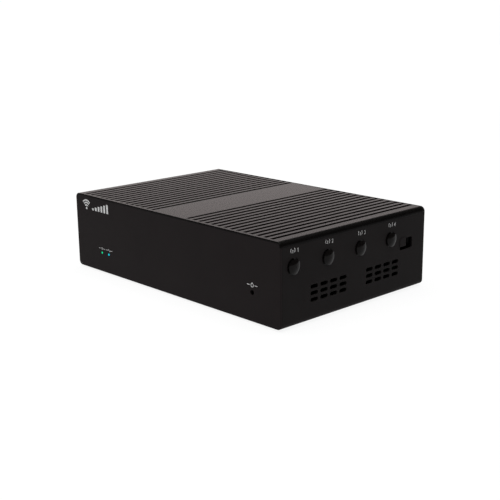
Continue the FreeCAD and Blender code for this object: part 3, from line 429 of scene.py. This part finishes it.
# Bare metals: dark and light colour, roughness, and the lines' size in millimetres on X, Y and Z.
METALS = {
    "zinc_steel": ((0.50, 0.50, 0.49), (0.64, 0.64, 0.62), (0.28, 0.42), (0.6, 0.6, 0.15)),
    "tin_steel": ((0.56, 0.56, 0.55), (0.70, 0.70, 0.69), (0.22, 0.36), (4.0, 0.12, 4.0)),
    "block_aluminium": ((0.66, 0.66, 0.67), (0.78, 0.78, 0.79), (0.30, 0.44), (6.0, 6.0, 0.2)),
    "gold_contact": ((0.78, 0.55, 0.20), (0.90, 0.68, 0.30), (0.20, 0.32), (0.2, 3.0, 0.2)),
    "can_sleeve": ((0.60, 0.60, 0.61), (0.74, 0.74, 0.75), (0.24, 0.36), (0.3, 0.3, 6.0)),
    "clock_metal": ((0.58, 0.57, 0.54), (0.70, 0.69, 0.66), (0.24, 0.36), (2.0, 0.2, 2.0)),
}

LIT_GUIDES = {"power_light": (0.0, 0.70, 0.29), "status_light": (0.0, 0.57, 0.70)}


def make_finishes():
    """Every finish of the record, by its material slot."""
    finishes = {slot: grained(slot, **coat) for slot, coat in COATS.items()}
    finishes.update({slot: brushed(slot, *metal) for slot, metal in METALS.items()})
    finishes.update({slot: lit_guide(slot, colour) for slot, colour in LIT_GUIDES.items()})
    finishes["board_green"] = solder_mask("board_green")
    return finishes


MATERIALS = make_finishes()


def dress_frame():
    """Give every CAD node the finish of its own slot."""
    for part in frame["record"]["subparts"]:
        node = NODES[part["node"]]
        node.data.materials.clear()
        node.data.materials.append(MATERIALS[part["material_slot"]])


# ---------------------------------------------------------------- printed marks


def front_face():
    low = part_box("front_panel")[0]
    return Face(low, (1, 0, 0), (0, 0, 1))


def right_face():
    low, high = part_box("front_panel")
    return Face((high.x, low.y, low.z), (0, 1, 0), (0, 0, 1))


def rear_face():
    low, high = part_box("rear_panel")
    return Face((high.x, high.y, low.z), (-1, 0, 0), (0, 0, 1))


def print_piece(name, draw):
    """One printed mark: draw puts its ink into a fresh mesh."""
    bm = bmesh.new()
    draw(bm)
    add_mesh(name, bm, MATERIALS["marking_ink"])


def ink_box(bm, face, low, high):
    """A printed rectangle between two opposite corners."""
    (left, base), (right, top) = low, high
    ink_prism(bm, face, [(left, base), (right, base), (right, top), (left, top)])


SIGNAL_FOOT = (11.2, 37.6)
SIGNAL_DOT = 0.75
SIGNAL_RADII = (2.0, 3.5, 5.0)
SIGNAL_BAND = 0.8
BAR_COUNT = 6
BAR_WIDTH = 1.7
BAR_PITCH = 2.95
FIRST_BAR = (5.9, -0.4)
FIRST_BAR_HEIGHT = 1.2
BAR_GROWTH = 0.85


def signal_mark(bm):
    """A plain signal pictogram with rising bars in the front's upper left corner."""
    face = front_face()
    ink_disc(bm, face, SIGNAL_FOOT, SIGNAL_DOT)
    for radius in SIGNAL_RADII:
        ink_arc(bm, face, SIGNAL_FOOT, radius, SIGNAL_BAND, 45, 135)
    base = SIGNAL_FOOT[1] + FIRST_BAR[1]
    for i in range(BAR_COUNT):
        left = SIGNAL_FOOT[0] + FIRST_BAR[0] + BAR_PITCH * i
        top = base + FIRST_BAR_HEIGHT + BAR_GROWTH * i
        ink_box(bm, face, (left, base), (left + BAR_WIDTH, top))


def flanking_bars(bm, face, centre, inside, outside, width):
    """A short level stroke on each side of a symbol."""
    x, y = centre
    for side in (-1, 1):
        ink_bar(bm, face, (x + side * inside, y), (x + side * outside, y), width)


def power_symbol(bm, face, centre, radius, width):
    """A broken ring with a stroke through its gap."""
    x, y = centre
    ink_arc(bm, face, centre, radius, width, 125, 415)
    ink_bar(bm, face, (x, y + radius * 0.2), (x, y + radius * 1.25), width)


def pulse_symbol(bm, face, centre, half_width, height, width):
    """A level line with one pulse in it, for the working state."""
    x, y = centre
    steps = [(-1, 0), (-0.4, 0), (-0.15, 0.5), (0.15, -0.5), (0.4, 0), (1, 0)]
    ink_path(bm, face, [(x + half_width * a, y + height * b) for a, b in steps], width)


def restart_symbol(bm, face, centre, radius, width):
    """An almost closed ring with an arrow head."""
    x, y = centre
    ink_arc(bm, face, centre, radius, width, 100, 400)
    tip_x, tip_y = x + radius * math.cos(math.radians(100)), y + radius
    head = radius * 0.75
    arrow = [(-0.1, 0.75), (-0.1, -0.75), (1.1, 0.0)]
    ink_prism(bm, face, [(tip_x + head * a, tip_y + head * b) for a, b in arrow])


# Each digit is one stroke, one unit from its middle up to its top.
DIGITS = {
    1: [(-0.35, 0.55), (0.05, 1.0), (0.05, -1.0)],
    2: [
        (-0.55, 0.55), (-0.35, 0.9), (0.0, 1.0), (0.4, 0.85), (0.55, 0.45), (0.4, 0.05),
        (-0.55, -0.92), (0.6, -0.92),
    ],
    3: [
        (-0.5, 0.75), (-0.2, 0.97), (0.2, 0.97), (0.5, 0.7), (0.45, 0.25), (0.1, 0.05),
        (0.5, -0.15), (0.58, -0.55), (0.25, -0.95), (-0.2, -0.97), (-0.55, -0.7),
    ],
    4: [(0.3, -1.0), (0.3, 1.0), (-0.6, -0.4), (0.65, -0.4)],
}


def aerial_symbol(bm, face, centre, size, width):
    """A mast with a dot on top and a wave on each side."""
    x, y = centre
    tip = (x, y + size * 0.3)
    ink_bar(bm, face, (x, y - size), tip, width)
    ink_disc(bm, face, tip, width * 1.3)
    for middle in (0, 180):
        ink_arc(bm, face, tip, 1.4 * size, width, middle - 45, middle + 45)


def network_symbol(bm, face, centre, width):
    """Three boxes joined by a branching line."""
    x, y = centre
    for box_x, box_y in ((x, y + 1.1), (x - 1.7, y - 1.1), (x + 1.7, y - 1.1)):
        ink_box(bm, face, (box_x - 0.6, box_y - 0.5), (box_x + 0.6, box_y + 0.5))
    ink_bar(bm, face, (x, y + 0.6), (x, y), width)
    ink_bar(bm, face, (x - 1.7, y), (x + 1.7, y), width)
    for side in (-1, 1):
        ink_bar(bm, face, (x + side * 1.7, y), (x + side * 1.7, y - 0.6), width)


def connector_symbol(bm, face, centre, width):
    """A flat plug: its outline and two pins."""
    x, y = centre
    outline = [(x - 2.0, y - 0.8), (x + 1.2, y - 0.8), (x + 1.2, y + 0.8), (x - 2.0, y + 0.8)]
    ink_path(bm, face, outline + outline[:1], width)
    for side in (1, -1):
        pin = y + side * 0.35
        ink_bar(bm, face, (x + 1.2, pin), (x + 2.2, pin), width)


FINE_LINE = 0.22
POWER_MARK_AT = (25.5, 14.6)
STATUS_MARK_AT = (32.8, 14.6)
RESET_MARK_AT = (158.0, 19.8)


def print_front():
    """The maker's place, the two lights and the reset, each with a symbol."""
    face = front_face()

    def power_mark(bm):
        power_symbol(bm, face, POWER_MARK_AT, 0.65, FINE_LINE)
        flanking_bars(bm, face, POWER_MARK_AT, 1.5, 3.2, FINE_LINE)

    def status_mark(bm):
        pulse_symbol(bm, face, STATUS_MARK_AT, 3.0, 1.5, FINE_LINE)

    def reset_mark(bm):
        restart_symbol(bm, face, RESET_MARK_AT, 0.95, 0.32)
        flanking_bars(bm, face, RESET_MARK_AT, 1.8, 3.9, 0.36)

    for mark in (signal_mark, power_mark, status_mark, reset_mark):
        print_piece(mark.__name__, mark)


PORT_COUNT = 4
PORT_LABEL_HEIGHT = 40.0
AERIAL_SHIFT = -0.5
AERIAL_SIZE = 1.1
DIGIT_SHIFT = 3.2
DIGIT_HALF_WIDTH = 0.7
DIGIT_LINE = 0.24


def print_ports():
    """An aerial symbol and a number above each antenna port."""
    face = right_face()
    for number in range(1, PORT_COUNT + 1):
        low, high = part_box(f"antenna_plug_{number}")
        middle = ((low.y + high.y) / 2 - face.corner.y) / MM

        def draw(bm, middle=middle, stroke=DIGITS[number]):
            y = PORT_LABEL_HEIGHT
            aerial_symbol(bm, face, (middle + AERIAL_SHIFT, y), AERIAL_SIZE, FINE_LINE)
            left = middle + DIGIT_SHIFT
            points = [(left + DIGIT_HALF_WIDTH * a, y + b) for a, b in stroke]
            ink_path(bm, face, points, DIGIT_LINE)

        print_piece(f"port_mark_{number}", draw)


REAR_LINE = 0.25
# Each rear mark: the connector under it, its rise over the connector's top, the symbol, its sizes.
REAR_MARKS = {
    "inlet_mark": ("power_inlet_body", 3.4, power_symbol, (1.2, 0.35)),
    "lan_mark_1": ("lan_port_1_shell", 3.2, network_symbol, (REAR_LINE,)),
    "lan_mark_2": ("lan_port_2_shell", 3.2, network_symbol, (REAR_LINE,)),
    "usb_mark": ("usb_port_shell", 3.2, connector_symbol, (REAR_LINE,)),
}


def print_rear():
    """A symbol above each rear connector."""
    face = rear_face()
    for name, (node, rise, symbol, sizes) in REAR_MARKS.items():
        low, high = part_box(node)
        across = (face.corner.x - (low.x + high.x) / 2) / MM
        up = (high.z - face.corner.z) / MM + rise

        def draw(bm, symbol=symbol, centre=(across, up), sizes=sizes):
            symbol(bm, face, centre, *sizes)

        print_piece(name, draw)


# ---------------------------------------------------------------------- studio


FLOOR_GLOW = 0.90
FLOOR_RADIUS = 60.0
FLOOR_DROP = 0.05 * MM


def stage_material():
    """A lit table top: white paper that glows, so that no hard shadow lies under the case."""
    material, tree, shader = new_material("studio_paper")
    cloud = noise(tree, 400.0, 1.0)
    tree.links.new(ramp(tree, cloud.outputs["Fac"], 0.09, 0.11), shader.inputs["Base Color"])
    shader.inputs["Roughness"].default_value = 0.9
    shader.inputs["Specular IOR Level"].default_value = 0.0
    shader.inputs["Emission Color"].default_value = (1.0, 1.0, 1.0, 1.0)
    shader.inputs["Emission Strength"].default_value = FLOOR_GLOW
    return material


def add_floor():
    """A wide white floor just under the feet."""
    bm = bmesh.new()
    bmesh.ops.create_circle(bm, cap_ends=True, radius=FLOOR_RADIUS, segments=96)
    mesh = bpy.data.meshes.new("floor")
    bm.to_mesh(mesh)
    bm.free()
    floor = bpy.data.objects.new("floor", mesh)
    bpy.context.scene.collection.objects.link(floor)
    floor.location.z = -FLOOR_DROP
    mesh.materials.append(stage_material())


BACKLIGHT_PLACE = (-1.75, 1.65, 0.60)
BACKLIGHT_AIM = (0.0, 0.0, 0.05)
BACKLIGHT_SIZE = (3.0, 0.9)
BACKLIGHT_POWER = 10.2
BACKLIGHT_COLOUR = (1.0, 0.90, 0.885)


def add_softbox(name, place, aim, size, power, colour):
    """A soft rectangular lamp at a place, turned towards a point."""
    data = bpy.data.lights.new(name, "AREA")
    data.color = colour
    data.shape = "RECTANGLE"
    data.size, data.size_y = size
    data.energy = power
    lamp = bpy.data.objects.new(name, data)
    bpy.context.scene.collection.objects.link(lamp)
    lamp.location = place
    lamp.rotation_mode = "QUATERNION"
    lamp.rotation_quaternion = (Vector(place) - Vector(aim)).to_track_quat("Z", "Y")


# Brightness of the studio by height, from straight down (0) to straight up (1).
STUDIO_LEVELS = [(0.0, 0.05), (0.76, 0.04), (0.86, 3.45), (1.0, 3.45)]


def add_world():
    """A dark studio under a bright ceiling, with a white backdrop behind the object."""
    world = bpy.data.worlds.new("studio")
    bpy.context.scene.world = world
    world.use_nodes = True
    tree = world.node_tree
    background = tree.nodes["Background"]
    coordinates = tree.nodes.new("ShaderNodeTexCoord")
    split = tree.nodes.new("ShaderNodeSeparateXYZ")
    tree.links.new(coordinates.outputs["Generated"], split.inputs["Vector"])
    band = tree.nodes.new("ShaderNodeValToRGB")
    tree.links.new(split.outputs["Z"], band.inputs["Fac"])
    elements = band.color_ramp.elements
    while len(elements) < len(STUDIO_LEVELS):
        elements.new(0.5)
    for element, (place, level) in zip(elements, STUDIO_LEVELS):
        element.position = place
        element.color = (level, level, level, 1)
    tree.links.new(band.outputs["Color"], background.inputs["Color"])
    backdrop = tree.nodes.new("ShaderNodeBackground")
    backdrop.inputs["Color"].default_value = (1.0, 1.0, 1.0, 1.0)
    path = tree.nodes.new("ShaderNodeLightPath")
    shown = tree.nodes.new("ShaderNodeMixShader")
    tree.links.new(path.outputs["Is Camera Ray"], shown.inputs["Fac"])
    tree.links.new(background.outputs["Background"], shown.inputs[1])
    tree.links.new(backdrop.outputs["Background"], shown.inputs[2])
    tree.links.new(shown.outputs["Shader"], tree.nodes["World Output"].inputs["Surface"])


CAMERA_PLACE = (0.41440, -0.38410, 0.16547)
CAMERA_AZIMUTH = 46.782
CAMERA_ELEVATION = 14.871
CAMERA_ROLL = -0.579
CAMERA_LENS = 70.07


def add_camera():
    """The camera, in degrees and metres: azimuth 0 looks along +Y."""
    data = bpy.data.cameras.new("camera")
    data.lens = CAMERA_LENS
    data.sensor_width = 36.0
    data.clip_start = 0.01
    data.clip_end = 200.0
    camera = bpy.data.objects.new("camera", data)
    bpy.context.scene.collection.objects.link(camera)
    a, e = math.radians(CAMERA_AZIMUTH), math.radians(CAMERA_ELEVATION)
    back = Vector((math.sin(a) * math.cos(e), -math.cos(a) * math.cos(e), math.sin(e)))
    camera.location = CAMERA_PLACE
    camera.rotation_mode = "QUATERNION"
    roll = Quaternion((0, 0, 1), math.radians(CAMERA_ROLL))
    camera.rotation_quaternion = back.to_track_quat("Z", "Y") @ roll
    bpy.context.scene.camera = camera


def build():
    dress_frame()
    print_front()
    print_ports()
    print_rear()
    add_floor()
    add_world()
    add_softbox(
        "backlight",
        BACKLIGHT_PLACE,
        BACKLIGHT_AIM,
        BACKLIGHT_SIZE,
        BACKLIGHT_POWER,
        BACKLIGHT_COLOUR,
    )
    add_camera()
    bpy.context.scene.view_settings.view_transform = "Standard"


build()
